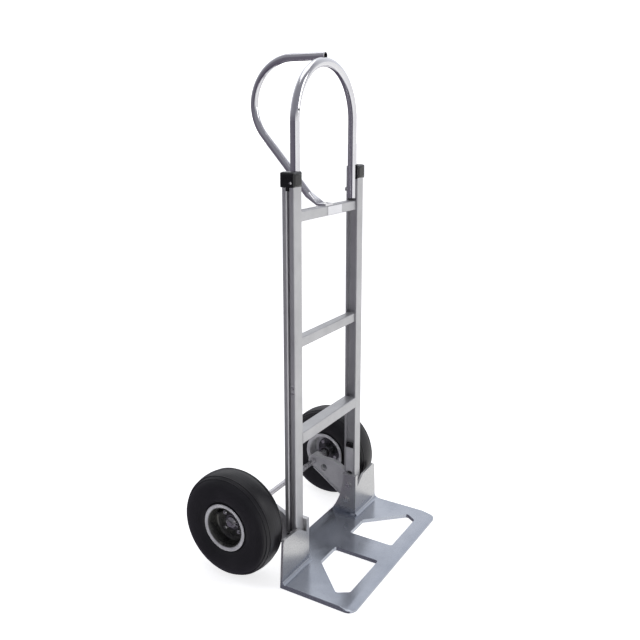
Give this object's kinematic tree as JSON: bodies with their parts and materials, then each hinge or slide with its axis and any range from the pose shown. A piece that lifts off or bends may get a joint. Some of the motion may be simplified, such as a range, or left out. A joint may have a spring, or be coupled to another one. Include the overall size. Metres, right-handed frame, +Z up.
{
  "type": "hand truck",
  "caption": "Upright two-wheeled hand truck of aluminium rails with a loop handle, a rear bow handle, a cast nose plate and pneumatic wheels that spin on a fixed axle.",
  "frame": {"origin": "on the floor, midway between the two rails, under their front faces", "axes": "+Z up along the rails, the nose plate points to -Y, +X is the left-hand side of a user standing behind the truck"},
  "size_m": [0.548, 0.457, 1.2215],
  "materials": {
    "rail_aluminium": "extruded, satin",
    "crossbar_aluminium": "extruded, satin",
    "handle_aluminium": "drawn tube, brushed bright",
    "bright_plate": "anodised bright",
    "black_plastic": "moulded, semi-gloss black",
    "cast_nose": "cast, tumbled satin",
    "cast_bracket": "cast, as-cast grain",
    "zinc_fasteners": "bright zinc plated",
    "axle_steel": "plated rod",
    "tyre_rubber": "black rubber",
    "tube_rubber": "black butyl",
    "rim_zinc": "bright zinc plated steel",
    "hub_steel": "plated steel",
    "bearing_steel": "ground steel",
    "seal_plastic": "moulded black",
    "valve_rubber": "black rubber"
  },
  "bodies": {
    "frame": {"left_rail": "rail_aluminium", "right_rail": "rail_aluminium", "top_crossbar": "crossbar_aluminium", "middle_crossbar": "crossbar_aluminium", "lower_crossbar": "crossbar_aluminium", "crossbar_bolts": "zinc_fasteners", "crossbar_nuts": "zinc_fasteners", "loop_handle": "handle_aluminium", "loop_screws": "zinc_fasteners", "bow_handle": "handle_aluminium", "bow_bolt": "zinc_fasteners", "bow_nut": "zinc_fasteners", "bar_plate": "bright_plate", "left_rail_cap": "black_plastic", "right_rail_cap": "black_plastic", "cap_screws": "zinc_fasteners", "accessory_rivets": "zinc_fasteners", "nose_plate": "cast_nose", "nose_bolts": "zinc_fasteners", "nose_washers": "zinc_fasteners", "nose_nuts": "zinc_fasteners", "left_wheel_bracket": "cast_bracket", "right_wheel_bracket": "cast_bracket", "tongue_plugs": "black_plastic", "axle": "axle_steel", "axle_spacers": "axle_steel", "axle_washers": "zinc_fasteners", "cotter_pins": "zinc_fasteners", "left_bearing_inner_races": "bearing_steel", "right_bearing_inner_races": "bearing_steel"},
    "left_wheel": {"left_tyre": "tyre_rubber", "left_inner_tube": "tube_rubber", "left_outer_rim": "rim_zinc", "left_inner_rim": "rim_zinc", "left_hub": "hub_steel", "left_rim_bolts": "zinc_fasteners", "left_rim_nuts": "zinc_fasteners", "left_bearing_outer_races": "bearing_steel", "left_bearing_balls": "bearing_steel", "left_bearing_shields": "seal_plastic", "left_valve_stem": "valve_rubber", "left_valve_cap": "seal_plastic"},
    "right_wheel": {"right_tyre": "tyre_rubber", "right_inner_tube": "tube_rubber", "right_outer_rim": "rim_zinc", "right_inner_rim": "rim_zinc", "right_hub": "hub_steel", "right_rim_bolts": "zinc_fasteners", "right_rim_nuts": "zinc_fasteners", "right_bearing_outer_races": "bearing_steel", "right_bearing_balls": "bearing_steel", "right_bearing_shields": "seal_plastic", "right_valve_stem": "valve_rubber", "right_valve_cap": "seal_plastic"}
  },
  "joints": [
    {"name": "left_wheel_spin", "type": "hinge", "parent": "frame", "child": "left_wheel", "pos_m": [0.2315, 0.1345, 0.127], "axis": [1, 0, 0], "continuous": true},
    {"name": "right_wheel_spin", "type": "hinge", "parent": "frame", "child": "right_wheel", "pos_m": [-0.2315, 0.1345, 0.127], "axis": [1, 0, 0], "continuous": true}
  ]
}
